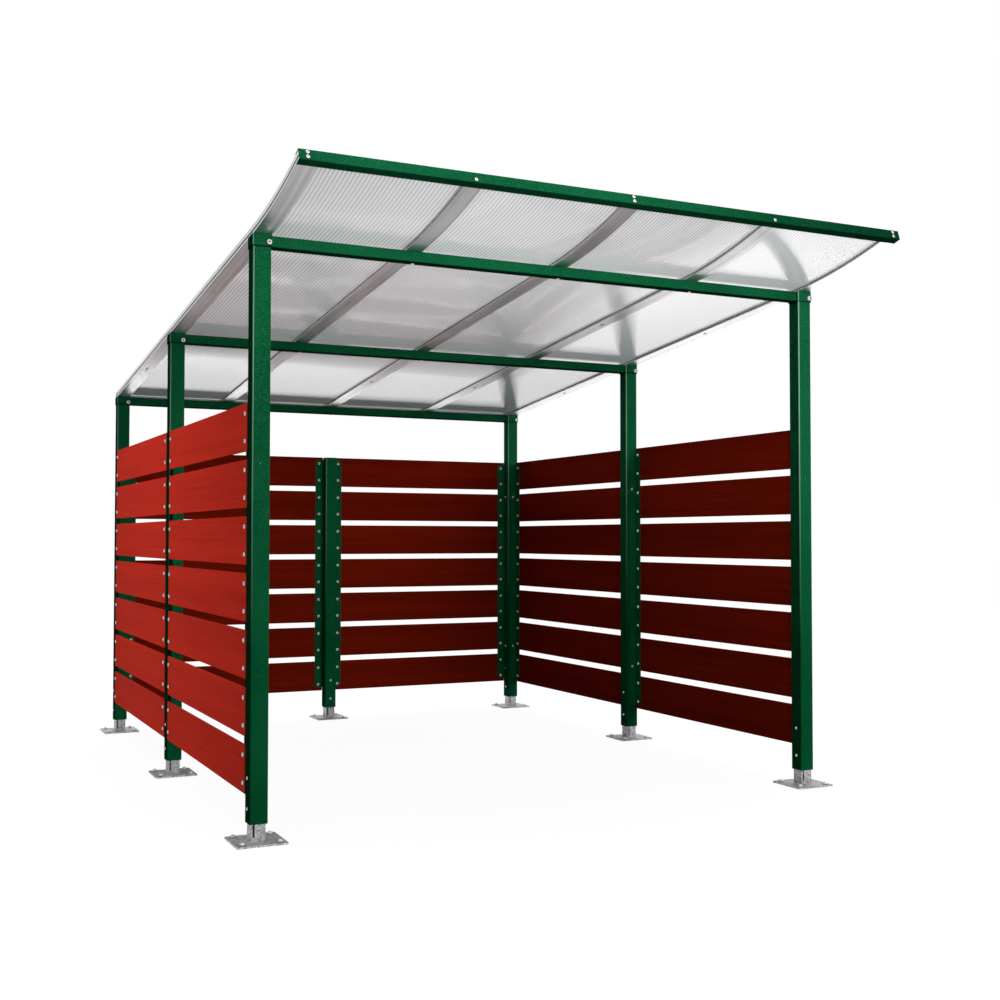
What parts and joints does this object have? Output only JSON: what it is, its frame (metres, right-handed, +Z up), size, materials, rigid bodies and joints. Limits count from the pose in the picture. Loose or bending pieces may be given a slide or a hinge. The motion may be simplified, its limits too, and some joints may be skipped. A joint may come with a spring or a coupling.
{
  "type": "bin shelter",
  "caption": "Open-fronted steel bin shelter with slatted board walls on three sides and a sloping, front-curved multiwall roof on square posts with bolt-down feet.",
  "frame": {"origin": "ground level in the middle of the plan, between the front edge of the roof and the rear edge of the back base plates", "axes": "+X to the right along the open front, +Y from the open front to the back wall, +Z up"},
  "size_m": [3.152, 4.2856, 2.789],
  "materials": {
    "green_steel": "satin powder coat",
    "galvanised_steel": "matt hot-dip zinc",
    "aluminium": "satin anodised",
    "red_board": "fine-grained painted board",
    "clear_multiwall_sheet": "glossy, fluted",
    "gasket_rubber": "matt"
  },
  "bodies": {
    "root": {"back_centre_foot": "galvanised_steel", "back_centre_post": "green_steel", "back_crossbeam": "green_steel", "back_left_angles": "green_steel", "back_left_foot": "galvanised_steel", "back_left_panel": "red_board", "back_left_post": "green_steel", "back_left_post_head": "green_steel", "back_right_angles": "green_steel", "back_right_foot": "galvanised_steel", "back_right_panel": "red_board", "back_right_post": "green_steel", "back_right_post_head": "green_steel", "centre_rib": "aluminium", "end_rib_caps": "aluminium", "front_crossbeam": "green_steel", "front_eave_channel": "green_steel", "front_left_foot": "galvanised_steel", "front_left_post": "green_steel", "front_left_post_head": "green_steel", "front_right_foot": "galvanised_steel", "front_right_post": "green_steel", "front_right_post_head": "green_steel", "inner_rib_caps": "aluminium", "left_end_rib": "aluminium", "left_front_angles": "green_steel", "left_front_panel": "red_board", "left_inner_rib": "aluminium", "left_inner_sheet": "clear_multiwall_sheet", "left_outer_sheet": "clear_multiwall_sheet", "left_rear_angles": "green_steel", "left_rear_panel": "red_board", "mid_crossbeam": "green_steel", "mid_left_foot": "galvanised_steel", "mid_left_post": "green_steel", "mid_left_post_head": "green_steel", "mid_right_foot": "galvanised_steel", "mid_right_post": "green_steel", "mid_right_post_head": "green_steel", "rear_sheet_closers": "aluminium", "rib_gaskets": "gasket_rubber", "right_end_rib": "aluminium", "right_front_angles": "green_steel", "right_front_panel": "red_board", "right_inner_rib": "aluminium", "right_inner_sheet": "clear_multiwall_sheet", "right_outer_sheet": "clear_multiwall_sheet", "right_rear_angles": "green_steel", "right_rear_panel": "red_board"}
  },
  "joints": []
}
